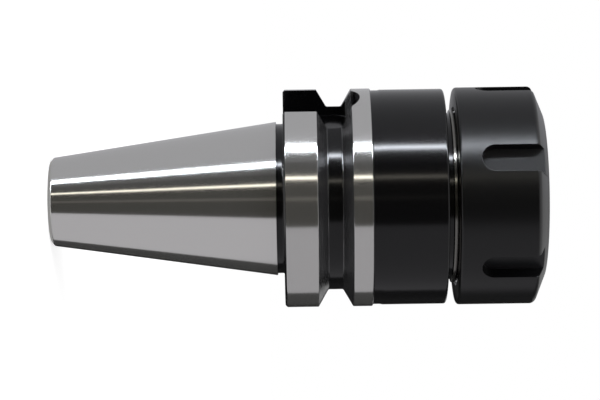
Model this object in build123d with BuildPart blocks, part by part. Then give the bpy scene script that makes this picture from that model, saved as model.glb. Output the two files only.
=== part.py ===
"""Steep-taper collet chuck holder with its clamping nut and spring collet.

The holder is one turned and ground piece: a 7:24 shank taper, a flange with a
gripper groove and two drive keyways, a thick cylindrical body and a threaded
nose with an 8 degree collet seat. The slotted nut screws onto the nose and
pushes the collet into the seat. An off-centre lip inside the nut hooks into
the collet's groove and draws the collet out again.

Millimetres. The origin is on the axis at the gauge plane, where the shank
taper has its gauge diameter. +Z runs to the nut, and the holder stands on the
small end of its taper. The keyways face +X and -X.
"""

import os
from math import cos, radians, tan

from build123d import *

# Shank taper
GAUGE_D = 44.45  # taper diameter at the gauge plane
TAPER_RATE = 7 / 24  # diameter lost for each millimetre of length
TAPER_LENGTH = 65.4  # gauge plane to small end
SMALL_END_CHAMFER = 1.0
RELIEF_DEPTH = 0.625  # neck beside the flange, under the gauge diameter
RELIEF_WIDTH = 2.05

# Flange with its gripper groove
GAUGE_TO_FLANGE = 2.0  # gauge plane to the flange face
GAUGE_TO_GROOVE = 16.6  # gauge plane to the middle of the groove
FLANGE_D = 63.0
FLANGE_CHAMFER = 0.6
GROOVE_MOUTH = 10.0  # groove width at the flange's outside
GROOVE_ANGLE = 60.0  # included angle of its flanks
GROOVE_DEPTH = 5.0
UPPER_RIM = 5.6  # width of the rim between the groove and the body

# Drive keyways
KEYWAY_WIDTH = 16.1
KEYWAY_LENGTH = 22.0  # flange face to the end of the half round
KEYWAY_FLOOR = 22.6  # axis to the floor of each keyway

# Body
BODY_STEP = 0.4  # rim's surface over the body's
BODY_LENGTH = 21.0  # upper rim to the nose's shoulder
BODY_EDGE = 0.35

# Threaded nose
NOSE_STEP = 6.1  # body's surface over the thread's crest
NOSE_WALL = 5.0  # thread's crest over the seat's mouth
THREAD_PITCH = 1.5
NOSE_LENGTH = 16.4  # shoulder to the nose's face
NOSE_CHAMFER = 1.2
THREAD_CLEARANCE = 0.1  # nut's thread root over the nose's thread crest

# Collet seat and the bores behind it
SEAT_HALF_ANGLE = 8.0
SEAT_RUNOUT = 1.2  # seat beyond the collet's inner end
SHANK_BORE_STEP = 6.75  # seat's mouth over the bore, which has room for a long tool shank
SHANK_BORE_LENGTH = 39.0
THROUGH_D = 10.0

# Tapped hole for the pull stud in the small end
STUD_THREAD_D = 16.0
STUD_THREAD_PITCH = 2.0
STUD_THREAD_LENGTH = 34.0
STUD_PILOT_D = 17.0
STUD_PILOT_DEPTH = 9.0

# Spring collet
COLLET_LENGTH = 46.0
COLLET_HEAD_STEP = 0.5  # head's radius over the seat's mouth
COLLET_HEAD_LAND = 1.0
COLLET_HEAD_HALF_ANGLE = 30.0
COLLET_CONE_DROP = 3.1  # head's radius over the face's
COLLET_GROOVE_DEPTH = 1.9
COLLET_GROOVE_WIDTH = 3.0
COLLET_STANDOUT = 1.0  # nose's face to the collet's groove
COLLET_WALL = 10.0  # seat's mouth over the collet's bore
COLLET_SLITS = 8  # from each end, the two sets taking turns
COLLET_SLIT_WIDTH = 0.9
COLLET_SLIT_LAND = 6.5  # metal left beyond the end of a slit
SEAT_CLEARANCE = 0.05  # between the collet's cones and what they seat in

# Clamping nut
NUT_STEP = 0.3  # nut's surface over the body's
NUT_LENGTH = 25.3
NUT_CONE_LENGTH = 3.0  # front cone, along the axis
NUT_CONE_WIDTH = 7.4  # front cone, across the axis
NUT_BACK_EDGE = 0.45
NUT_FACE_PROUD = 1.53  # nut's face beyond the collet's face
NUT_HEAD_CLEARANCE = 0.3  # round the collet's head
LIP_CATCH = 0.3  # head's radius over the off-centre lip's
LIP_OFFSET = 1.0
LIP_CLEARANCE = 0.25  # on each side, in the collet's groove
NUT_SLOTS = 6
NUT_SLOT_WIDTH = 7.7
NUT_SLOT_LENGTH = 19.1  # from the nut's face to the end of the half round
NUT_SLOT_WALL = 0.365  # part of the nut's wall that is left under a slot
NUT_ANGLE = 45.9  # turn of the first slot from the keyway, nut tightened


def taper_radius(z):
    """Radius of the shank taper at a height over the gauge plane."""
    return (GAUGE_D + TAPER_RATE * z) / 2


# Heights along the axis, from the small end up to the nut's face
small_end_z = -TAPER_LENGTH
flange_z = GAUGE_TO_FLANGE
relief_z = flange_z - RELIEF_WIDTH
groove_z = GAUGE_TO_GROOVE
upper_rim_z = groove_z + GROOVE_MOUTH / 2
body_z = upper_rim_z + UPPER_RIM
shoulder_z = body_z + BODY_LENGTH
nose_z = shoulder_z + NOSE_LENGTH

# Radii that more than one piece is made to
rim_r = FLANGE_D / 2
body_r = rim_r - BODY_STEP
thread_r = body_r - NOSE_STEP
seat_r = thread_r - NOSE_WALL
head_r = seat_r + COLLET_HEAD_STEP
face_r = head_r - COLLET_CONE_DROP

# The collet follows the nose, and the nut follows the collet
seat_slope = tan(radians(SEAT_HALF_ANGLE))
head_slope = tan(radians(COLLET_HEAD_HALF_ANGLE))
collet_groove_z = nose_z + COLLET_STANDOUT
collet_head_z = collet_groove_z + COLLET_GROOVE_WIDTH
collet_cone_z = collet_head_z + COLLET_HEAD_LAND
collet_face_z = collet_cone_z + COLLET_CONE_DROP / head_slope
collet_end_z = collet_face_z - COLLET_LENGTH
nut_face_z = collet_face_z + NUT_FACE_PROUD
nut_back_z = nut_face_z - NUT_LENGTH


def seat_radius(z):
    """Radius of the collet seat at a height inside the nose."""
    return seat_r + (z - nose_z) * seat_slope


with BuildPart() as holder_body:
    small_end_r = taper_radius(small_end_z)
    chamfer_z = small_end_z + SMALL_END_CHAMFER
    relief_r = GAUGE_D / 2 - RELIEF_DEPTH
    floor_r = rim_r - GROOVE_DEPTH
    floor_half = GROOVE_MOUTH / 2 - GROOVE_DEPTH * tan(radians(GROOVE_ANGLE / 2))
    # The nose is turned to its thread's root
    nose_r = thread_r - 1.2269 * THREAD_PITCH / 2
    with BuildSketch(Plane.XZ):
        with BuildLine():
            Polyline(
                (0, small_end_z),
                (small_end_r - SMALL_END_CHAMFER, small_end_z),
                (taper_radius(chamfer_z), chamfer_z),
                (taper_radius(relief_z), relief_z),
                (relief_r, relief_z),
                (relief_r, flange_z),
                (rim_r - FLANGE_CHAMFER, flange_z),
                (rim_r, flange_z + FLANGE_CHAMFER),
                (rim_r, groove_z - GROOVE_MOUTH / 2),
                (floor_r, groove_z - floor_half),
                (floor_r, groove_z + floor_half),
                (rim_r, upper_rim_z),
                (rim_r, body_z),
                (body_r, body_z),
                (body_r, shoulder_z - BODY_EDGE),
                (body_r - BODY_EDGE, shoulder_z),
                (nose_r, shoulder_z),
                (nose_r, nose_z - NOSE_CHAMFER),
                (nose_r - NOSE_CHAMFER, nose_z),
                (0, nose_z),
                close=True,
            )
        make_face()
    revolve(axis=Axis.Z)

    # Seat, shank bore, passage and the pull stud's hole, in one bored section
    shank_r = seat_r - SHANK_BORE_STEP
    seat_end_z = collet_end_z - SEAT_RUNOUT
    shank_end_z = seat_end_z - SHANK_BORE_LENGTH
    pilot_z = small_end_z + STUD_PILOT_DEPTH
    stud_end_z = pilot_z + STUD_THREAD_LENGTH
    stud_r = (STUD_THREAD_D - 1.0825 * STUD_THREAD_PITCH) / 2
    with BuildSketch(Plane.XZ):
        with BuildLine():
            Polyline(
                (0, nose_z),
                (seat_r, nose_z),
                (seat_radius(seat_end_z), seat_end_z),
                (shank_r, seat_end_z),
                (shank_r, shank_end_z),
                (THROUGH_D / 2, shank_end_z),
                (THROUGH_D / 2, stud_end_z),
                (stud_r, stud_end_z),
                (stud_r, pilot_z),
                (STUD_PILOT_D / 2, pilot_z),
                (STUD_PILOT_D / 2, small_end_z),
                (0, small_end_z),
                close=True,
            )
        make_face()
    revolve(axis=Axis.Z, mode=Mode.SUBTRACT)

    # Each keyway is milled in from the flange face and ends in the cutter's half round
    keyway_round_z = flange_z + KEYWAY_LENGTH - KEYWAY_WIDTH / 2
    for side in (1, -1):
        with BuildSketch(Plane.YZ.offset(side * KEYWAY_FLOOR)):
            with Locations((0, keyway_round_z)):
                Rectangle(KEYWAY_WIDTH, keyway_round_z - flange_z, align=(Align.CENTER, Align.MAX))
                Circle(KEYWAY_WIDTH / 2)
        extrude(amount=side * rim_r, mode=Mode.SUBTRACT)
holder_body.part.label = "holder_body"

with BuildPart() as spring_collet:
    bore_r = seat_r - COLLET_WALL
    groove_r = head_r - COLLET_GROOVE_DEPTH
    seat_gap = SEAT_CLEARANCE / cos(radians(SEAT_HALF_ANGLE))
    with BuildSketch(Plane.XZ):
        with BuildLine():
            Polyline(
                (bore_r, collet_face_z),
                (face_r, collet_face_z),
                (head_r, collet_cone_z),
                (head_r, collet_head_z),
                (groove_r, collet_head_z),
                (groove_r, collet_groove_z),
                (seat_radius(collet_groove_z) - seat_gap, collet_groove_z),
                (seat_radius(collet_end_z) - seat_gap, collet_end_z),
                (bore_r, collet_end_z),
                close=True,
            )
        make_face()
    revolve(axis=Axis.Z)
    # Saw slits, cut in turn from the face and from the inner end
    slit = (2 * head_r, COLLET_SLIT_WIDTH, COLLET_LENGTH - COLLET_SLIT_LAND)
    half_step = 180 / COLLET_SLITS
    with Locations((0, 0, collet_face_z)):
        with PolarLocations(0, COLLET_SLITS):
            Box(*slit, align=(Align.MIN, Align.CENTER, Align.MAX), mode=Mode.SUBTRACT)
    with Locations((0, 0, collet_end_z)):
        with PolarLocations(0, COLLET_SLITS, start_angle=half_step):
            Box(*slit, align=(Align.MIN, Align.CENTER, Align.MIN), mode=Mode.SUBTRACT)
spring_collet.part.label = "spring_collet"

with BuildPart() as clamping_nut:
    nut_r = body_r + NUT_STEP
    nut_thread_r = thread_r + THREAD_CLEARANCE
    cone_gap = SEAT_CLEARANCE / cos(radians(COLLET_HEAD_HALF_ANGLE))
    hole_r = face_r + cone_gap
    room_r = head_r + NUT_HEAD_CLEARANCE
    # The inside cone starts where it leaves the room round the collet's head
    inside_cone_z = collet_cone_z - (NUT_HEAD_CLEARANCE - cone_gap) / head_slope
    lip_back_z = collet_groove_z + LIP_CLEARANCE
    lip_front_z = collet_head_z - LIP_CLEARANCE
    with BuildSketch(Plane.XZ):
        with BuildLine():
            Polyline(
                (nut_thread_r, nut_back_z),
                (nut_r - NUT_BACK_EDGE, nut_back_z),
                (nut_r, nut_back_z + NUT_BACK_EDGE),
                (nut_r, nut_face_z - NUT_CONE_LENGTH),
                (nut_r - NUT_CONE_WIDTH, nut_face_z),
                (hole_r, nut_face_z),
                (hole_r, collet_face_z),
                (room_r, inside_cone_z),
                (room_r, lip_front_z),
                (hole_r, lip_front_z),
                (hole_r, lip_back_z),
                (nut_thread_r, lip_back_z),
                close=True,
            )
        make_face()
    revolve(axis=Axis.Z)
    # The lip's hole is off centre, so that a tilted collet can be snapped in
    with BuildSketch(Plane.XY.offset(lip_back_z)):
        with Locations((LIP_OFFSET, 0)):
            Circle(head_r - LIP_CATCH)
    extrude(amount=lip_front_z - lip_back_z, mode=Mode.SUBTRACT)
    # Spanner slots, open at the nut's face, each with a half round inner end
    slot_r = NUT_SLOT_WIDTH / 2
    slot_floor_r = nut_thread_r + NUT_SLOT_WALL * (nut_r - nut_thread_r)
    slot_round_z = nut_face_z - NUT_SLOT_LENGTH + slot_r
    slot = (nut_r, NUT_SLOT_WIDTH, NUT_SLOT_LENGTH)
    with Locations((0, 0, slot_round_z)):
        with PolarLocations(slot_floor_r, NUT_SLOTS, start_angle=NUT_ANGLE):
            Box(*slot, align=(Align.MIN, Align.CENTER, Align.MIN), mode=Mode.SUBTRACT)
            Cylinder(
                slot_r,
                nut_r,
                rotation=(0, 90, 0),
                align=(Align.CENTER, Align.CENTER, Align.MIN),
                mode=Mode.SUBTRACT,
            )
clamping_nut.part.label = "clamping_nut"

os.makedirs("parts", exist_ok=True)
export_step(holder_body.part, "parts/holder_body.step")
export_step(spring_collet.part, "parts/spring_collet.step")
export_step(clamping_nut.part, "parts/clamping_nut.step")
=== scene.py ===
"""Dresses the collet chuck holder and sets its stage, laid out as an add-on.

Metres, in the frame of the CAD part: the axis is Z, z = 0 is the gauge plane of
the shank taper and +Z runs to the nut. Sections are drawn as (radius, height).
"""

from math import cos, hypot, pi, radians, sin, tan

import bmesh
import bpy
from bpy.props import FloatProperty, FloatVectorProperty, IntProperty, PointerProperty
from mathutils import Matrix, Vector


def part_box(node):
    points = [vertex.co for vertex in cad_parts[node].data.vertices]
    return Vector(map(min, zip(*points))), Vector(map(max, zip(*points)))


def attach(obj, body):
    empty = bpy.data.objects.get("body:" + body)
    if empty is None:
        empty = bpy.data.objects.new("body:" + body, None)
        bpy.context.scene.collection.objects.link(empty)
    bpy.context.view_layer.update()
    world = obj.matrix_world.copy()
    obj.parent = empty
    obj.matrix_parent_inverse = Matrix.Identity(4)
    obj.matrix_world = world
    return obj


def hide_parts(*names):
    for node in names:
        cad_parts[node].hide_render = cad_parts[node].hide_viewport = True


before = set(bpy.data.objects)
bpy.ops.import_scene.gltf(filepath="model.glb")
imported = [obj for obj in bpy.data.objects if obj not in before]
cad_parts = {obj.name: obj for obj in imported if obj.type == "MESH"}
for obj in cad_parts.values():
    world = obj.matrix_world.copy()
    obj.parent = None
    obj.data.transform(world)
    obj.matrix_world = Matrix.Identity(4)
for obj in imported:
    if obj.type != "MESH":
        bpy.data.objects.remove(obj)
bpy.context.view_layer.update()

bl_info = {
    "name": "Collet chuck holder",
    "version": (1, 0, 0),
    "blender": (4, 5, 0),
    "location": "3D View > Sidebar > Holder",
    "description": "Builds the finished holder, nut and collet over their CAD frame",
    "category": "Add Mesh",
}

MM = 0.001
AXIS = Vector((0, 0, 1))
TURN_STEPS = 240  # facets of a turned surface
ROUND_STEPS = 48  # facets of a milling cutter
CORNER_STEPS = 5  # facets of a section's rounded corner
EDGE_STEPS = 2  # facets of a fine round
SHARP = radians(32)  # edges turned further than this are rounded and stay crisp
NOISE = 1e-6 * MM  # less than this is no distance
MERGED = 0.002 * MM  # points nearer than this become one
CLOSE = 0.01 * MM  # a point this near to a place is on it
SKIN = 0.1 * MM  # a thread's foot in its wall, and the slack of a finish's limits
OVERCUT = 1 * MM  # a tool's reach beyond the metal it cuts
CLEAR = 1.2  # a milling cutter's outer end, over the radius of the metal
TAPER_SLOPE = 7 / 48  # radius over height on a 7:24 taper
BAND_RAMP = 4  # length over depth of the ramp at the shallow band's end
NOSE_THREAD_DEPTH = 1.2269 / 2  # times the pitch
NUT_THREAD_DEPTH = 0.5413  # times the pitch
THREAD_FLANK = radians(30)
THREAD_END = 0.4 * MM  # plain bore between the nut's thread and its lip
MILLED_FROM = 0.5 * MM  # over the nut's bore, where milled surfaces may start
COLLET_EDGE = 0.7  # the collet's fine edges over those of the other pieces
LINE_STRETCH = 60  # length of a turning line over its width
STEEP = 0.5  # a groove's flank has more than this of the axis in its normal
UPRIGHT = 0.1  # a slot's walls and floor have less


def length(name, millimetres, description):
    """A size that a user would change, kept in metres."""
    size = millimetres * MM
    return FloatProperty(
        name=name, description=description, default=size, unit="LENGTH", precision=5
    )


def turn(name, degrees, description):
    """An angle that a user would change."""
    angle = radians(degrees)
    return FloatProperty(name=name, description=description, default=angle, unit="ROTATION")


def colour(name, shade, description):
    """A surface colour, linear."""
    return FloatVectorProperty(
        name=name, description=description, default=shade, subtype="COLOR", min=0, max=1
    )


def roughness(name, value, description):
    """A finish's roughness, 0 for a mirror."""
    return FloatProperty(name=name, description=description, default=value, min=0, max=1)


class ShankSizes(bpy.types.PropertyGroup):
    """Taper, flange and the hole for the pull stud."""

    gauge_radius: length("Gauge radius", 22.225, "Taper radius at the gauge plane")
    end_chamfer: length("End chamfer", 1.0, "Chamfer at the taper's small end")
    relief_radius: length("Relief radius", 21.6, "Neck between taper and flange")
    relief_width: length("Relief width", 2.05, "Neck between taper and flange")
    relief_round: length("Relief round", 0.5, "Inside corner at the flange face")
    flange_height: length("Flange face", 2.0, "Flange face over the gauge plane")
    flange_chamfer: length("Flange chamfer", 0.6, "Chamfer round the flange face")
    groove_height: length("Groove height", 16.6, "Middle of the gripper groove")
    groove_mouth: length("Groove mouth", 10.0, "Groove width at the rims")
    groove_depth: length("Groove depth", 5.0, "Rims to the groove's floor")
    groove_angle: turn("Groove angle", 60, "Angle between the groove's flanks")
    groove_round: length("Groove round", 0.6, "Inside corners of the groove")
    upper_rim: length("Upper rim", 5.6, "Width of the rim next to the body")
    rim_edge: length("Rim edge", 0.25, "Broken edge of that rim")
    keyway_width: length("Keyway width", 16.1, "Drive keyways")
    keyway_length: length("Keyway length", 22.0, "Flange face to the end of the half round")
    keyway_floor: length("Keyway floor", 22.6, "Axis to the keyway's floor")
    pilot_radius: length("Pilot radius", 8.5, "Pull stud's pilot bore")
    pilot_depth: length("Pilot depth", 9.0, "Pull stud's pilot bore")
    stud_radius: length("Stud hole radius", 6.9175, "Drilled core of the pull stud's thread")
    stud_length: length("Stud hole length", 34.0, "Threaded stretch behind the pilot")
    stud_chamfer: length("Stud hole chamfer", 0.8, "Mouth of the pilot bore")
    passage_radius: length("Passage radius", 5.0, "Hole between stud hole and shank bore")


class BodySizes(bpy.types.PropertyGroup):
    """Cylindrical body, threaded nose and the bores in it."""

    step: length("Body step", 0.4, "Rim's surface over the body's")
    height: length("Body length", 21.0, "Upper rim to the nose's shoulder")
    band_width: length("Band width", 2.1, "Shallow turned band beside the rim")
    band_depth: length("Band depth", 0.16, "Shallow turned band beside the rim")
    edge_round: length("Body edge", 0.7, "Rounded edge at the nose's shoulder")
    seat_radius: length("Seat radius", 20.0, "Collet seat at the nose's face")
    seat_angle: turn("Seat half angle", 8, "Collet seat")
    nose_wall: length("Nose wall", 5.0, "Thread crest over the seat's mouth")
    nose_chamfer: length("Nose chamfer", 1.2, "Start of the nose's thread")
    neck: length("Neck", 1.6, "Dark neck between the shoulder and the land")
    land: length("Land", 1.2, "Plain land between the neck and the thread")
    seat_runout: length("Seat run-out", 1.2, "Seat beyond the collet's inner end")
    shank_bore: length("Shank bore radius", 13.25, "Room for a long tool shank")
    shank_length: length("Shank bore length", 39.0, "Room for a long tool shank")


class ThreadSizes(bpy.types.PropertyGroup):
    """Right-hand thread between nose and nut."""

    pitch: length("Pitch", 1.5, "Height of one turn")
    crest: length("Crest half width", 0.09, "Flat on the nose's thread")
    nut_crest: length("Nut crest half width", 0.15, "Flat on the nut's thread")
    clearance: length("Clearance", 0.1, "Nut's bore over the nose's crest")
    steps: IntProperty(name="Steps", description="Facets in one turn", default=96, min=12)


class ColletSizes(bpy.types.PropertyGroup):
    """Spring collet."""

    head_step: length("Head step", 0.5, "Head's radius over the seat's mouth")
    head_land: length("Head land", 1.0, "Cylindrical part of the head")
    cone_drop: length("Cone drop", 3.1, "Head's radius over the face's")
    cone_angle: turn("Cone half angle", 30, "Cone that the nut presses on")
    groove_depth: length("Groove depth", 1.9, "Groove that the nut's lip hooks")
    groove_width: length("Groove width", 3.0, "Groove that the nut's lip hooks")
    standout: length("Standout", 1.0, "Nose's face to the collet's groove")
    bore: length("Bore radius", 10.0, "Bore for the tool's shank")
    edge: length("Edge", 0.4, "Chamfered ends")
    slits: IntProperty(name="Slits", description="Slits from each end", default=8, min=2)
    slit_width: length("Slit width", 0.9, "Saw slits")
    slit_land: length("Slit land", 6.5, "Metal left beyond a slit's end")
    clearance: length("Seat clearance", 0.05, "Between the cones")


class NutSizes(bpy.types.PropertyGroup):
    """Clamping nut."""

    step: length("Nut step", 0.3, "Nut's surface over the body's")
    cone_length: length("Cone length", 3.0, "Front cone along the axis")
    cone_width: length("Cone width", 7.4, "Front cone across the axis")
    cone_round: length("Cone edge", 1.0, "Rounded edge where the cone starts")
    back_round: length("Back edge", 0.9, "Rounded edge at the nut's back")
    mouth_chamfer: length("Mouth chamfer", 0.7, "Start of the nut's thread")
    hole_edge: length("Hole edge", 0.3, "Broken edge of the front hole")
    face_proud: length("Face proud", 1.53, "Nut's face beyond the collet's")
    head_clearance: length("Head clearance", 0.3, "Round the collet's head")
    lip_catch: length("Lip catch", 0.3, "Head's radius over the lip's")
    lip_offset: length("Lip offset", 1.0, "Lip's hole off the axis")
    lip_clearance: length("Lip clearance", 0.25, "Lip in the collet's groove")
    slots: IntProperty(name="Slots", description="Spanner slots", default=6, min=2)
    slot_width: length("Slot width", 7.7, "Spanner slots")
    slot_length: length("Slot length", 19.1, "Nut's face to the end of the half round")
    slot_depth: length("Slot depth", 4.0, "Spanner slots")
    slot_turn: turn("Slot turn", 45.9, "First slot from the keyway")


class Finishes(bpy.types.PropertyGroup):
    """Colours and gloss."""

    edge: length("Fine edge", 0.14, "Round on every sharp edge")
    steel: colour("Ground steel", (0.62, 0.615, 0.6), "Taper, rims and seat")
    steel_gloss: roughness("Steel roughness", 0.125, "Ground steel")
    oxide: colour("Black oxide", (0.0022, 0.0022, 0.0026), "Body, groove and nut")
    oxide_gloss: roughness("Oxide roughness", 0.15, "Black oxide")
    nut_gloss: roughness("Nut roughness", 0.3, "Black oxide of the nut")
    coarse: colour("Coarse oxide", (0.02, 0.02, 0.021), "Groove's flanks")
    milled: colour("Milled oxide", (0.007, 0.007, 0.008), "Slots' floors and walls")
    coarse_gloss: roughness("Groove roughness", 0.17, "Groove's flanks")
    milled_gloss: roughness("Slot roughness", 0.34, "Slots' floors and walls")
    thread: colour("Thread steel", (0.21, 0.205, 0.19), "Nose and its thread")
    thread_gloss: roughness("Thread roughness", 0.16, "Nose and its thread")
    collet_gloss: roughness("Collet roughness", 0.26, "Collet and its seat")
    bore: colour("Dark bore", (0.03, 0.029, 0.028), "Bores behind the seat")
    bore_gloss: roughness("Bore roughness", 0.4, "Bores behind the seat")


class StageSettings(bpy.types.PropertyGroup):
    """Camera, floor and the reflectors round the object."""

    camera_turn: turn("Camera direction", -114.5, "Direction from the axis to the camera")
    camera_distance: length("Camera distance", 680, "Axis to camera")
    camera_height: length("Camera height", 6.6, "Over the gauge plane")
    camera_side: length("Camera side", -0.52, "Off the axis, upwards in the picture")
    camera_roll: turn("Camera roll", 0.85, "The axis climbs to the right in the picture")
    lens: FloatProperty(
        name="Lens", description="Focal length in millimetres", default=140.7, min=1
    )
    wall: length("Reflector distance", 1500, "Axis to the reflectors")


GROUPS = {
    "holder_shank": ShankSizes,
    "holder_trunk": BodySizes,
    "holder_thread": ThreadSizes,
    "holder_collet": ColletSizes,
    "holder_nut": NutSizes,
    "holder_finish": Finishes,
    "holder_stage": StageSettings,
}


class Plan:
    """Heights and radii that the pieces share, from the sizes and the CAD frame."""

    def __init__(self, scene):
        shank, trunk, collet = scene.holder_shank, scene.holder_trunk, scene.holder_collet
        nut, thread = scene.holder_nut, scene.holder_thread
        holder_low, holder_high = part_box("holder_body")
        nut_low, nut_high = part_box("clamping_nut")
        self.small_end = holder_low[2]
        self.rim = max(holder_high[0], -holder_low[1])
        self.nose = holder_high[2]
        self.relief = shank.flange_height - shank.relief_width
        self.upper_rim = shank.groove_height + shank.groove_mouth / 2
        self.body_start = self.upper_rim + shank.upper_rim
        self.shoulder = self.body_start + trunk.height
        self.body = self.rim - trunk.step
        self.crest = trunk.seat_radius + trunk.nose_wall
        self.root = self.crest - NOSE_THREAD_DEPTH * thread.pitch
        self.nut_crest = self.crest - NUT_THREAD_DEPTH * thread.pitch
        self.nut_bore = self.crest + thread.clearance
        self.head = trunk.seat_radius + collet.head_step
        self.face = self.head - collet.cone_drop
        self.groove_start = self.nose + collet.standout
        self.head_start = self.groove_start + collet.groove_width
        self.cone_start = self.head_start + collet.head_land
        self.nut_back = nut_low[2]
        self.nut_face = nut_high[2]
        self.collet_face = self.nut_face - nut.face_proud
        self.collet_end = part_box("spring_collet")[0][2]
        self.seat_slope = tan(trunk.seat_angle)
        self.seat_mouth = trunk.seat_radius
        self.gauge = shank.gauge_radius

    def taper(self, height):
        """Radius of the shank taper."""
        return self.gauge + height * TAPER_SLOPE

    def seat(self, height):
        """Radius of the collet seat."""
        return self.seat_mouth + (height - self.nose) * self.seat_slope


# Modelling steps that several pieces use


def open_point(name, radius, height):
    """A new mesh that is one vertex, open in edit mode."""
    bpy.ops.object.select_all(action="DESELECT")
    bpy.ops.mesh.primitive_plane_add(size=MM)
    piece = bpy.context.object
    piece.name = name
    piece.data.name = name
    bpy.ops.object.mode_set(mode="EDIT")
    bpy.ops.mesh.select_mode(type="VERT")
    bpy.ops.mesh.select_all(action="SELECT")
    bpy.ops.mesh.merge(type="CENTER")
    bpy.ops.transform.translate(value=(radius, 0, height))
    return piece


def select_points(piece, wanted):
    """Selects the vertices that a test of their place picks."""
    net = bmesh.from_edit_mesh(piece.data)
    bpy.ops.mesh.select_all(action="DESELECT")
    picked = 0
    for vertex in net.verts:
        if wanted(vertex.co):
            vertex.select = True
            picked += 1
    net.select_flush_mode()
    bmesh.update_edit_mesh(piece.data)
    if not picked:
        raise RuntimeError(f"no vertex of {piece.name} is where the script looks for it")


def draw_section(name, corners, rounds=()):
    """Draws a closed section from corner to corner, then rounds some corners."""
    piece = open_point(name, *corners[0])
    for start, end in zip(corners, corners[1:]):
        step = (end[0] - start[0], 0, end[1] - start[1])
        bpy.ops.mesh.extrude_vertices_move(TRANSFORM_OT_translate={"value": step})
    first, last = corners[0], corners[-1]
    select_points(piece, lambda place: near(place, first) or near(place, last))
    bpy.ops.mesh.edge_face_add()
    for corner, radius in rounds:
        select_points(piece, lambda place: near(place, corner))
        bpy.ops.mesh.bevel(affect="VERTICES", offset=radius, segments=CORNER_STEPS)
    return piece


def near(place, corner):
    """True where a vertex of a section lies on a corner."""
    return hypot(place.x - corner[0], place.z - corner[1]) < CLOSE


def spin_section(piece):
    """Turns the open section once round the axis into a closed solid."""
    bpy.ops.mesh.select_all(action="SELECT")
    bpy.ops.mesh.spin(steps=TURN_STEPS, angle=2 * pi, center=(0, 0, 0), axis=AXIS)
    bpy.ops.mesh.select_all(action="SELECT")
    bpy.ops.mesh.remove_doubles(threshold=MERGED)
    bpy.ops.mesh.normals_make_consistent(inside=False)
    bpy.ops.object.mode_set(mode="OBJECT")


def turned(name, corners, rounds=()):
    """A turned piece from its section."""
    piece = draw_section(name, corners, rounds)
    spin_section(piece)
    return piece


def make_active(piece):
    """Selects one object alone."""
    bpy.ops.object.select_all(action="DESELECT")
    piece.select_set(True)
    bpy.context.view_layer.objects.active = piece


def boolean(piece, tool, operation="DIFFERENCE"):
    """Cuts or trims a piece with a tool, which is then thrown away."""
    make_active(piece)
    cut = piece.modifiers.new("cut", "BOOLEAN")
    cut.operation = operation
    cut.solver = "EXACT"
    cut.object = tool
    bpy.ops.object.modifier_apply(modifier=cut.name)
    bpy.data.objects.remove(tool)


def round_ended_cutter(name, direction, width, floor, top, end, reach):
    """A milling cutter's path: a half round at its end, open the other way along the axis.

    direction is the turn of the cut round the axis, floor its distance from the axis.
    reach is signed, and is how far the path runs from the half round.
    """
    outward = Matrix.Rotation(direction, 3, "Z") @ Vector((1, 0, 0))
    middle = outward * (floor + top) / 2 + AXIS * end
    bpy.ops.object.select_all(action="DESELECT")
    bpy.ops.mesh.primitive_cylinder_add(
        vertices=ROUND_STEPS,
        radius=width / 2,
        depth=top - floor,
        location=middle,
        rotation=(0, pi / 2, direction),
    )
    cutter = bpy.context.object
    cutter.name = name
    bpy.ops.object.transform_apply(location=True, rotation=True, scale=True)
    bpy.ops.object.mode_set(mode="EDIT")
    select_points(cutter, lambda place: (place.z - end) * reach > NOISE * abs(reach))
    bpy.ops.transform.translate(value=(0, 0, reach))
    bpy.ops.mesh.select_all(action="SELECT")
    bpy.ops.mesh.normals_make_consistent(inside=False)
    bpy.ops.object.mode_set(mode="OBJECT")
    return cutter


def repeat_round(cutter, count):
    """Copies a tool evenly round the axis, in its own mesh."""
    make_active(cutter)
    bpy.ops.object.mode_set(mode="EDIT")
    bpy.ops.mesh.select_all(action="SELECT")
    way = 2 * pi * (count - 1) / count
    bpy.ops.mesh.spin(steps=count - 1, dupli=True, angle=way, center=(0, 0, 0), axis=AXIS)
    bpy.ops.mesh.select_all(action="SELECT")
    bpy.ops.mesh.normals_make_consistent(inside=False)
    bpy.ops.object.mode_set(mode="OBJECT")


def helix(name, corners, pitch, turns, steps):
    """Winds a closed section into a thread."""
    thread = draw_section(name, corners)
    bpy.ops.mesh.select_all(action="SELECT")
    bpy.ops.mesh.edge_face_add()
    bpy.ops.object.mode_set(mode="OBJECT")
    wind = thread.modifiers.new("wind", "SCREW")
    wind.axis = "Z"
    wind.angle = 2 * pi
    wind.screw_offset = pitch
    wind.iterations = turns
    wind.steps = steps
    wind.render_steps = steps
    wind.use_merge_vertices = False
    make_active(thread)
    bpy.ops.object.modifier_apply(modifier=wind.name)
    bpy.ops.object.mode_set(mode="EDIT")
    bpy.ops.mesh.select_all(action="SELECT")
    bpy.ops.mesh.remove_doubles(threshold=MERGED)
    bpy.ops.mesh.select_all(action="DESELECT")
    bpy.ops.mesh.select_non_manifold()
    bpy.ops.mesh.edge_face_add()
    bpy.ops.mesh.select_all(action="SELECT")
    bpy.ops.mesh.normals_make_consistent(inside=False)
    bpy.ops.object.mode_set(mode="OBJECT")
    return thread


def soften(piece, width):
    """Rounds the sharp edges a little and shades the piece."""
    make_active(piece)
    if width:
        edge = piece.modifiers.new("edge", "BEVEL")
        edge.width = width
        edge.segments = EDGE_STEPS
        edge.limit_method = "ANGLE"
        edge.angle_limit = SHARP
        edge.use_clamp_overlap = False
        edge.miter_outer = "MITER_ARC"
        bpy.ops.object.modifier_apply(modifier=edge.name)
    bpy.ops.object.shade_smooth_by_angle(angle=SHARP)
    weigh = piece.modifiers.new("weigh", "WEIGHTED_NORMAL")
    weigh.keep_sharp = True
    bpy.ops.object.modifier_apply(modifier=weigh.name)


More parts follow.
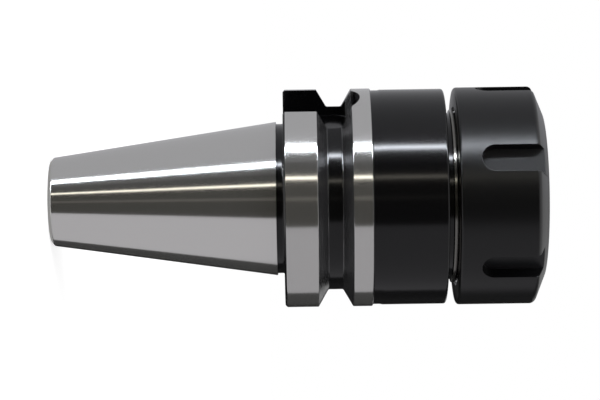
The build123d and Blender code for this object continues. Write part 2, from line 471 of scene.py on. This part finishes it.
def paint(piece, scene, zone):
    """Gives each face the finish that its place asks for."""
    names = []
    for face in piece.data.polygons:
        name = zone(hypot(face.center.x, face.center.y), face.center.z, face.normal)
        if name not in names:
            names.append(name)
            piece.data.materials.append(finish(scene, name))
        face.material_index = names.index(name)


# Finishes


def shader(name):
    """A new material, its Principled node and a way to add nodes."""
    material = bpy.data.materials.new(name)
    material.use_nodes = True
    nodes, links = material.node_tree.nodes, material.node_tree.links
    return material, nodes["Principled BSDF"], nodes, links


def turning_lines(nodes, links, principled, per_metre, depth, strength):
    """Fine lines round the axis, as turning and grinding leave them."""
    place = nodes.new("ShaderNodeTexCoord")
    squeeze = nodes.new("ShaderNodeMapping")
    along = per_metre / LINE_STRETCH
    squeeze.inputs["Scale"].default_value = (along, along, per_metre)
    grain = nodes.new("ShaderNodeTexNoise")
    grain.inputs["Scale"].default_value = 1.0
    grain.inputs["Detail"].default_value = 2.0
    bump = nodes.new("ShaderNodeBump")
    bump.inputs["Strength"].default_value = strength
    bump.inputs["Distance"].default_value = depth
    links.new(place.outputs["Object"], squeeze.inputs["Vector"])
    links.new(squeeze.outputs["Vector"], grain.inputs["Vector"])
    links.new(grain.outputs["Fac"], bump.inputs["Height"])
    links.new(bump.outputs["Normal"], principled.inputs["Normal"])


# How much of a metal a finish is, its index of refraction, and its turning lines:
# how many for each metre, how deep, how strong
METAL_AND_LINES = {
    "ground steel": (0.94, 1.5, (3500, 0.004 * MM, 0.2)),
    "black oxide": (0, 1.45, (2500, 0.003 * MM, 0.25)),
    "satin oxide": (0, 1.46, (2500, 0.003 * MM, 0.25)),
    "coarse oxide": (0, 2.4, (7000, 0.12 * MM, 1.0)),
    "milled oxide": (0, 1.42, None),
    "thread steel": (0.95, 1.5, None),
    "collet steel": (0.9, 1.5, (5000, 0.002 * MM, 0.3)),
    "dark bore": (0.6, 1.5, None),
}


def finish(scene, name):
    """One of the holder's finishes, made once and then shared."""
    if name in bpy.data.materials:
        return bpy.data.materials[name]
    looks = scene.holder_finish
    shade, gloss = {
        "ground steel": (looks.steel, looks.steel_gloss),
        "black oxide": (looks.oxide, looks.oxide_gloss),
        "satin oxide": (looks.oxide, looks.nut_gloss),
        "coarse oxide": (looks.coarse, looks.coarse_gloss),
        "milled oxide": (looks.milled, looks.milled_gloss),
        "thread steel": (looks.thread, looks.thread_gloss),
        "collet steel": (looks.steel, looks.collet_gloss),
        "dark bore": (looks.bore, looks.bore_gloss),
    }[name]
    metal, refraction, lines = METAL_AND_LINES[name]
    material, principled, nodes, links = shader(name)
    principled.inputs["Base Color"].default_value = (*shade, 1)
    principled.inputs["Metallic"].default_value = metal
    principled.inputs["Roughness"].default_value = gloss
    principled.inputs["IOR"].default_value = refraction
    if lines:
        turning_lines(nodes, links, principled, *lines)
    return material


# Pieces


class HOLDER_OT_body(bpy.types.Operator):
    """Turns the holder's body, mills its keyways and finishes it"""

    bl_idname = "holder.body"
    bl_label = "Holder body"

    def execute(self, context):
        scene = context.scene
        plan = Plan(scene)
        shank, trunk = scene.holder_shank, scene.holder_trunk
        chamfer_z = plan.small_end + shank.end_chamfer
        small_r = plan.taper(plan.small_end)
        groove_low = shank.groove_height - shank.groove_mouth / 2
        floor_r = plan.rim - shank.groove_depth
        floor_half = shank.groove_mouth / 2 - shank.groove_depth * tan(shank.groove_angle / 2)
        floor_round = shank.groove_round * tan(shank.groove_angle / 2)
        band_r = plan.body - trunk.band_depth
        band_z = plan.body_start + trunk.band_width
        ramp_z = band_z + trunk.band_depth * BAND_RAMP
        seat_end = plan.collet_end - trunk.seat_runout
        shank_end = seat_end - trunk.shank_length
        pilot_z = plan.small_end + shank.pilot_depth
        stud_z = pilot_z + shank.stud_length
        land_low = plan.shoulder + trunk.neck
        land_high = land_low + trunk.land
        land_edge = (plan.crest - plan.root) / 8
        relief_corner = (shank.relief_radius, shank.flange_height)
        low_corner = (floor_r, shank.groove_height - floor_half)
        high_corner = (floor_r, shank.groove_height + floor_half)
        body_corner = (plan.body, plan.shoulder)
        corners = [
            (shank.pilot_radius + shank.stud_chamfer, plan.small_end),
            (small_r - shank.end_chamfer, plan.small_end),
            (plan.taper(chamfer_z), chamfer_z),
            (plan.taper(plan.relief), plan.relief),
            (shank.relief_radius, plan.relief),
            relief_corner,
            (plan.rim - shank.flange_chamfer, shank.flange_height),
            (plan.rim, shank.flange_height + shank.flange_chamfer),
            (plan.rim, groove_low),
            low_corner,
            high_corner,
            (plan.rim, plan.upper_rim),
            (plan.rim, plan.body_start - shank.rim_edge),
            (plan.rim - shank.rim_edge, plan.body_start),
            (band_r, plan.body_start),
            (band_r, band_z),
            (plan.body, ramp_z),
            body_corner,
            (plan.root, plan.shoulder),
            (plan.root, land_low),
            (plan.crest, land_low + land_edge),
            (plan.crest, land_high - land_edge),
            (plan.root, land_high),
            (plan.root, plan.nose - trunk.nose_chamfer),
            (plan.root - trunk.nose_chamfer, plan.nose),
            (trunk.seat_radius, plan.nose),
            (plan.seat(seat_end), seat_end),
            (trunk.shank_bore, seat_end),
            (trunk.shank_bore, shank_end),
            (shank.passage_radius, shank_end),
            (shank.passage_radius, stud_z),
            (shank.stud_radius, stud_z),
            (shank.stud_radius, pilot_z),
            (shank.pilot_radius, pilot_z),
            (shank.pilot_radius, plan.small_end + shank.stud_chamfer),
        ]
        rounds = (
            (relief_corner, shank.relief_round),
            (low_corner, floor_round),
            (high_corner, floor_round),
            (body_corner, trunk.edge_round),
        )
        body = turned("holder", corners, rounds)
        keyway_round = shank.flange_height + shank.keyway_length - shank.keyway_width / 2
        clear = plan.rim * CLEAR
        cutter = round_ended_cutter(
            "keyway", 0, shank.keyway_width, shank.keyway_floor, clear, keyway_round, -clear
        )
        repeat_round(cutter, 2)
        boolean(body, cutter)
        soften(body, scene.holder_finish.edge)

        nose_face = trunk.seat_radius + trunk.nose_wall / 5

        def zone(radius, height, normal):
            if height < plan.relief and radius > plan.taper(height) - shank.end_chamfer * 1.3:
                return "ground steel"
            if radius > plan.rim - trunk.band_depth / 4 and height < plan.body_start:
                return "ground steel"
            if height > land_low and radius > nose_face:
                return "thread steel"
            if height > seat_end and radius < nose_face:
                return "collet steel"
            if radius < trunk.shank_bore + SKIN:
                return "dark bore"
            if groove_low < height < plan.upper_rim and abs(normal.z) > STEEP:
                return "coarse oxide"
            return "black oxide"

        paint(body, scene, zone)
        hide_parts("holder_body")
        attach(body, "holder")
        return {"FINISHED"}


class HOLDER_OT_nose_thread(bpy.types.Operator):
    """Winds the nose's right-hand thread"""

    bl_idname = "holder.nose_thread"
    bl_label = "Nose thread"

    def execute(self, context):
        scene = context.scene
        plan = Plan(scene)
        trunk, thread = scene.holder_trunk, scene.holder_thread
        start = plan.shoulder
        base = plan.root - SKIN
        half = thread.crest + (plan.crest - base) * tan(THREAD_FLANK)
        corners = [
            (base, start - half),
            (plan.crest, start - thread.crest),
            (plan.crest, start + thread.crest),
            (base, start + half),
        ]
        turns = int((plan.nose - plan.shoulder) / thread.pitch) + 1
        ridge = helix("nose_thread", corners, thread.pitch, turns, thread.steps)
        low = plan.shoulder + trunk.neck + trunk.land
        fade = plan.crest - plan.root
        high = plan.nose - trunk.nose_chamfer
        envelope = [
            (base - OVERCUT, low),
            (plan.root, low),
            (plan.crest + CLOSE, low + fade),
            (plan.crest + CLOSE, high - fade),
            (plan.root, high),
            (base - OVERCUT, high),
        ]
        boolean(ridge, turned("envelope", envelope), "INTERSECT")
        soften(ridge, 0)
        paint(ridge, scene, lambda *place: "thread steel")
        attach(ridge, "holder")
        return {"FINISHED"}


class HOLDER_OT_nut(bpy.types.Operator):
    """Turns the clamping nut, bores its off-centre lip and mills its slots"""

    bl_idname = "holder.nut"
    bl_label = "Clamping nut"

    def execute(self, context):
        scene = context.scene
        plan = Plan(scene)
        collet, nut = scene.holder_collet, scene.holder_nut
        outer = plan.body + nut.step
        cone_gap = collet.clearance / cos(collet.cone_angle)
        hole = plan.face + cone_gap
        room = plan.head + nut.head_clearance
        inside_cone = plan.cone_start - (nut.head_clearance - cone_gap) / tan(collet.cone_angle)
        lip_low = plan.groove_start + nut.lip_clearance
        lip_high = plan.head_start - nut.lip_clearance
        back_corner = (outer, plan.nut_back)
        cone_corner = (outer, plan.nut_face - nut.cone_length)
        corners = [
            (plan.nut_bore + nut.mouth_chamfer, plan.nut_back),
            back_corner,
            cone_corner,
            (outer - nut.cone_width, plan.nut_face),
            (hole + nut.hole_edge, plan.nut_face),
            (hole, plan.nut_face - nut.hole_edge),
            (hole, plan.collet_face),
            (room, inside_cone),
            (room, lip_high),
            (hole, lip_high),
            (hole, lip_low),
            (plan.nut_bore, lip_low),
            (plan.nut_bore, plan.nut_back + nut.mouth_chamfer),
        ]
        rounds = ((back_corner, nut.back_round), (cone_corner, nut.cone_round))
        piece = turned("nut", corners, rounds)
        bpy.ops.object.select_all(action="DESELECT")
        bpy.ops.mesh.primitive_cylinder_add(
            vertices=TURN_STEPS,
            radius=plan.head - nut.lip_catch,
            depth=lip_high - lip_low + 2 * SKIN,
            location=(nut.lip_offset, 0, (lip_low + lip_high) / 2),
        )
        boolean(piece, bpy.context.object)
        slot_round = plan.nut_face - nut.slot_length + nut.slot_width / 2
        cutter = round_ended_cutter(
            "slot",
            nut.slot_turn,
            nut.slot_width,
            outer - nut.slot_depth,
            outer * CLEAR,
            slot_round,
            nut.slot_length,
        )
        repeat_round(cutter, nut.slots)
        boolean(piece, cutter)
        soften(piece, scene.holder_finish.edge)

        wall_start, wall_end = plan.nut_bore + MILLED_FROM, outer - nut.slot_depth / 2

        def zone(radius, height, normal):
            if radius < plan.nut_bore + SKIN and height < plan.collet_face - SKIN:
                return "thread steel"
            if wall_start < radius < wall_end and abs(normal.z) < UPRIGHT:
                return "milled oxide"
            return "satin oxide"

        paint(piece, scene, zone)
        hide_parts("clamping_nut")
        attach(piece, "nut")
        return {"FINISHED"}


class HOLDER_OT_nut_thread(bpy.types.Operator):
    """Winds the nut's right-hand thread, half a pitch from the nose's"""

    bl_idname = "holder.nut_thread"
    bl_label = "Nut thread"

    def execute(self, context):
        scene = context.scene
        plan = Plan(scene)
        nut, thread = scene.holder_nut, scene.holder_thread
        turns_below = int((plan.nut_back - plan.shoulder) / thread.pitch)
        start = plan.shoulder + (turns_below - 0.5) * thread.pitch
        base = plan.nut_bore + SKIN
        crest = plan.nut_crest
        half = thread.nut_crest + (base - crest) * tan(THREAD_FLANK)
        corners = [
            (base, start - half),
            (crest, start - thread.nut_crest),
            (crest, start + thread.nut_crest),
            (base, start + half),
        ]
        low = plan.nut_back + nut.mouth_chamfer / 2
        high = plan.groove_start - THREAD_END
        turns = int((high - start) / thread.pitch) + 2
        ridge = helix("nut_thread", corners, thread.pitch, turns, thread.steps)
        fade = plan.nut_bore - crest
        envelope = [
            (base + OVERCUT, low),
            (plan.nut_bore, low),
            (crest - CLOSE, low + fade),
            (crest - CLOSE, high - fade),
            (plan.nut_bore, high),
            (base + OVERCUT, high),
        ]
        boolean(ridge, turned("envelope", envelope), "INTERSECT")
        soften(ridge, 0)
        paint(ridge, scene, lambda *place: "thread steel")
        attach(ridge, "nut")
        return {"FINISHED"}


class HOLDER_OT_collet(bpy.types.Operator):
    """Turns the spring collet and saws its slits"""

    bl_idname = "holder.collet"
    bl_label = "Spring collet"

    def execute(self, context):
        scene = context.scene
        plan = Plan(scene)
        trunk, collet = scene.holder_trunk, scene.holder_collet
        gap = collet.clearance / cos(trunk.seat_angle)
        end_r = plan.seat(plan.collet_end) - gap
        groove = plan.head - collet.groove_depth
        corners = [
            (collet.bore + collet.edge, plan.collet_face),
            (plan.face, plan.collet_face),
            (plan.head, plan.cone_start),
            (plan.head, plan.head_start),
            (groove, plan.head_start),
            (groove, plan.groove_start),
            (plan.seat(plan.groove_start) - gap, plan.groove_start),
            (end_r + collet.edge * plan.seat_slope, plan.collet_end + collet.edge),
            (end_r - collet.edge, plan.collet_end),
            (collet.bore + collet.edge, plan.collet_end),
            (collet.bore, plan.collet_end + collet.edge),
            (collet.bore, plan.collet_face - collet.edge),
        ]
        piece = turned("collet", corners)
        slit = plan.collet_face - plan.collet_end - collet.slit_land
        inner, outer = collet.bore * 0.8, plan.head * 1.05
        ends = ((plan.collet_face, 1, 0.0), (plan.collet_end, -1, pi / collet.slits))
        for end, direction, first in ends:
            middle = Matrix.Rotation(first, 3, "Z") @ Vector(((inner + outer) / 2, 0, 0))
            middle.z = end - direction * (slit - OVERCUT) / 2
            bpy.ops.object.select_all(action="DESELECT")
            bpy.ops.mesh.primitive_cube_add(
                size=1,
                location=middle,
                rotation=(0, 0, first),
                scale=(outer - inner, collet.slit_width, slit + OVERCUT),
            )
            cutter = bpy.context.object
            bpy.ops.object.transform_apply(location=True, rotation=True, scale=True)
            repeat_round(cutter, collet.slits)
            boolean(piece, cutter)
        soften(piece, scene.holder_finish.edge * COLLET_EDGE)
        paint(piece, scene, lambda *place: "collet steel")
        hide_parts("spring_collet")
        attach(piece, "collet")
        return {"FINISHED"}


# Stage


def glow(name, shade, strength):
    """A plain light-giving material."""
    material = bpy.data.materials.new(name)
    material.use_nodes = True
    nodes, links = material.node_tree.nodes, material.node_tree.links
    nodes.clear()
    emission = nodes.new("ShaderNodeEmission")
    emission.inputs["Color"].default_value = (*shade, 1)
    emission.inputs["Strength"].default_value = strength
    output = nodes.new("ShaderNodeOutputMaterial")
    links.new(emission.outputs["Emission"], output.inputs["Surface"])
    return material


FLOOR_SIZE = 8
FLOOR_DROP = 0.02 * MM  # under the taper's end
CARD_DROP = 0.01 * MM  # under the taper's end, over the floor
CARD_STEP = 3  # degrees of one facet of a reflector
FLOOR_LIFT = 0.52  # light of its own that the camera sees in the floor
PLAIN_WORLD = 0.6  # the world's strength where neither camera, gloss nor glass looks
SENSOR = 36  # width of the camera's sensor in millimetres
FOOT, HEAD = -4000, 1500  # most reflectors' bottom and top in millimetres

# Upright reflectors round the object, by their direction from the camera's, upwards
# in the picture: name, from degrees, to degrees, bottom, top, colour, strength
REFLECTORS = (
    ("upper wall", 57.5, 150, FOOT, HEAD, (0.98, 0.985, 1.03), 0.5),
    ("upper back wall", 150, 180, FOOT, 2400, (0.98, 0.985, 1.03), 0.5),
    ("window haze", 55.0, 57.5, FOOT, HEAD, (0.95, 1, 1.08), 1.8),
    ("window", 51.3, 55.0, FOOT, HEAD, (0.95, 1, 1.08), 36.0),
    ("window hem", 49.8, 51.3, FOOT, HEAD, (0.95, 1, 1.08), 1.2),
    ("upper dusk", 38, 49.8, FOOT, HEAD, (1, 1, 1), 0.12),
    ("upper dark", 21.8, 38, FOOT, HEAD, (1, 0.98, 0.93), 0.055),
    ("warm strip", 19.4, 21.8, FOOT, HEAD, (1, 0.95, 0.82), 3.6),
    ("middle dusk", 0.5, 19.4, FOOT, HEAD, (1, 0.93, 0.75), 0.035),
    ("faint strip", -2.5, 0.5, FOOT, HEAD, (1, 0.95, 0.82), 0.15),
    ("middle dark", -30, -2.5, FOOT, HEAD, (1, 0.93, 0.75), 0.03),
    ("lower wall", -118, -30, -250, HEAD, (1, 0.985, 1.03), 0.45),
    ("low wall", -118, -30, FOOT, -250, (1, 0.985, 1.03), 0.59),
    ("lower dusk", -150, -118, FOOT, HEAD, (1, 1, 1), 0.035),
    ("lower back dusk", -180, -150, FOOT, 300, (1, 1, 1), 0.02),
    ("lower back wall", -180, -150, 300, 2400, (1, 1, 1), 0.45),
)


class HOLDER_OT_stage(bpy.types.Operator):
    """Sets the floor, the reflectors, the lamps, the world and the camera"""

    bl_idname = "holder.stage"
    bl_label = "Stage"

    def execute(self, context):
        scene = context.scene
        plan = Plan(scene)
        stage = scene.holder_stage
        toward = Matrix.Rotation(stage.camera_turn, 3, "Z") @ Vector((1, 0, 0))
        upward = AXIS.cross(toward) * -1
        self.floor(plan)
        self.reflectors(scene, stage, plan)
        self.lamps(toward, upward)
        self.world(scene)
        self.camera(scene, stage, toward, upward)
        scene.view_settings.view_transform = "Standard"
        return {"FINISHED"}

    def floor(self, plan):
        """A pale floor that the camera sees as white and that keeps the shadow."""
        bpy.ops.object.select_all(action="DESELECT")
        bpy.ops.mesh.primitive_plane_add(
            size=FLOOR_SIZE, location=(0, 0, plan.small_end - FLOOR_DROP)
        )
        floor = bpy.context.object
        floor.name = "floor"
        material, principled, nodes, links = shader("pale floor")
        principled.inputs["Base Color"].default_value = (0.8, 0.8, 0.8, 1)
        principled.inputs["Roughness"].default_value = 0.9
        principled.inputs["Specular IOR Level"].default_value = 0.0
        principled.inputs["Emission Color"].default_value = (1, 1, 1, 1)
        ray = nodes.new("ShaderNodeLightPath")
        lift = nodes.new("ShaderNodeMath")
        lift.operation = "MULTIPLY"
        lift.inputs[1].default_value = FLOOR_LIFT
        links.new(ray.outputs["Is Camera Ray"], lift.inputs[0])
        links.new(lift.outputs["Value"], principled.inputs["Emission Strength"])
        floor.data.materials.append(material)
        floor.visible_glossy = False

    def reflectors(self, scene, stage, plan):
        """Tall curved cards that only gloss sees, and a small one under the taper's end."""
        for name, low, high, bottom, top, shade, strength in REFLECTORS:
            card = open_point(name, 0, 0)
            start = stage.camera_turn - radians(low)
            reach = Matrix.Rotation(start, 3, "Z") @ Vector((stage.wall, 0, 0))
            bpy.ops.transform.translate(value=(reach.x, reach.y, bottom * MM))
            rise = (0, 0, (top - bottom) * MM)
            bpy.ops.mesh.extrude_vertices_move(TRANSFORM_OT_translate={"value": rise})
            bpy.ops.mesh.select_all(action="SELECT")
            steps = max(2, int((high - low) / CARD_STEP))
            bpy.ops.mesh.spin(steps=steps, angle=radians(high - low), center=(0, 0, 0), axis=AXIS)
            bpy.ops.object.mode_set(mode="OBJECT")
            self.gloss_only(card, glow(name, shade, strength))
        bpy.ops.object.select_all(action="DESELECT")
        bpy.ops.mesh.primitive_circle_add(
            vertices=ROUND_STEPS,
            radius=plan.taper(plan.small_end),
            fill_type="NGON",
            location=(0, 0, plan.small_end - CARD_DROP),
        )
        card = bpy.context.object
        card.name = "end_card"
        self.gloss_only(card, glow("end card", (1, 1, 1), 0.42))

    def gloss_only(self, card, light):
        """Hides a card from all but the object's gloss."""
        card.data.materials.append(light)
        card.visible_camera = False
        card.visible_diffuse = False
        card.visible_transmission = False
        card.visible_shadow = False

    def lamps(self, toward, upward):
        """Two soft lamps at a plain level."""
        places = (
            # name, place and size in metres, power in watts
            ("key lamp", toward * 0.7 + upward * 0.6 + AXIS * 0.8, 0.9, 6.5),
            ("fill lamp", toward * 0.5 - upward * 0.9 + AXIS * 0.4, 1.0, 2.5),
        )
        for name, place, size, power in places:
            lamp = bpy.data.lights.new(name, "AREA")
            lamp.size = size
            lamp.energy = power
            holder = bpy.data.objects.new(name, lamp)
            holder.location = place
            holder.rotation_euler = place.to_track_quat("Z", "Y").to_euler()
            holder.visible_glossy = False
            bpy.context.scene.collection.objects.link(holder)

    def world(self, scene):
        """White where camera, gloss and glass look, a plain soft light elsewhere."""
        world = bpy.data.worlds.new("studio")
        world.use_nodes = True
        nodes, links = world.node_tree.nodes, world.node_tree.links
        nodes.clear()
        ray = nodes.new("ShaderNodeLightPath")
        seen = nodes.new("ShaderNodeMath")
        seen.operation = "MAXIMUM"
        clear = nodes.new("ShaderNodeMath")
        clear.operation = "MAXIMUM"
        strength = nodes.new("ShaderNodeMapRange")
        strength.inputs["To Min"].default_value = PLAIN_WORLD
        strength.inputs["To Max"].default_value = 1.0
        background = nodes.new("ShaderNodeBackground")
        background.inputs["Color"].default_value = (1, 1, 1, 1)
        output = nodes.new("ShaderNodeOutputWorld")
        links.new(ray.outputs["Is Camera Ray"], seen.inputs[0])
        links.new(ray.outputs["Is Glossy Ray"], seen.inputs[1])
        links.new(seen.outputs["Value"], clear.inputs[0])
        links.new(ray.outputs["Is Transmission Ray"], clear.inputs[1])
        links.new(clear.outputs["Value"], strength.inputs["Value"])
        links.new(strength.outputs["Result"], background.inputs["Strength"])
        links.new(background.outputs["Background"], output.inputs["Surface"])
        scene.world = world

    def camera(self, scene, stage, toward, upward):
        """The photograph's view: level with the holder, rolled a quarter turn."""
        lens = bpy.data.cameras.new("camera")
        lens.lens = stage.lens
        lens.sensor_width = SENSOR
        lens.sensor_fit = "HORIZONTAL"
        camera = bpy.data.objects.new("camera", lens)
        across = AXIS * cos(stage.camera_roll) - upward * sin(stage.camera_roll)
        up = AXIS * sin(stage.camera_roll) + upward * cos(stage.camera_roll)
        turned_to = Matrix((across, up, toward)).transposed().to_4x4()
        place = AXIS * stage.camera_height + toward * stage.camera_distance
        place += upward * stage.camera_side
        camera.matrix_world = Matrix.Translation(place) @ turned_to
        scene.collection.objects.link(camera)
        scene.camera = camera


class HOLDER_PT_panel(bpy.types.Panel):
    """Lists the pieces and their sizes"""

    bl_idname = "HOLDER_PT_panel"
    bl_label = "Collet chuck holder"
    bl_space_type = "VIEW_3D"
    bl_region_type = "UI"
    bl_category = "Holder"

    def draw(self, context):
        for operator in PIECES:
            self.layout.operator(operator.bl_idname)
        for group in GROUPS:
            box = self.layout.box()
            settings = getattr(context.scene, group)
            for name in settings.bl_rna.properties.keys():
                if name not in ("rna_type", "name"):
                    box.prop(settings, name)


PIECES = (
    HOLDER_OT_body,
    HOLDER_OT_nose_thread,
    HOLDER_OT_nut,
    HOLDER_OT_nut_thread,
    HOLDER_OT_collet,
    HOLDER_OT_stage,
)


def register():
    """Registers the groups of sizes, the operators and the panel."""
    for settings in GROUPS.values():
        bpy.utils.register_class(settings)
    for group, settings in GROUPS.items():
        setattr(bpy.types.Scene, group, PointerProperty(type=settings))
    for piece in (*PIECES, HOLDER_PT_panel):
        bpy.utils.register_class(piece)


def unregister():
    """Takes them all out again."""
    for piece in reversed((*PIECES, HOLDER_PT_panel)):
        bpy.utils.unregister_class(piece)
    for group, settings in GROUPS.items():
        delattr(bpy.types.Scene, group)
        bpy.utils.unregister_class(settings)


def main():
    """Builds the holder and its stage."""
    register()
    bpy.ops.holder.body()
    bpy.ops.holder.nose_thread()
    bpy.ops.holder.nut()
    bpy.ops.holder.nut_thread()
    bpy.ops.holder.collet()
    bpy.ops.holder.stage()


if __name__ == "__main__":
    main()
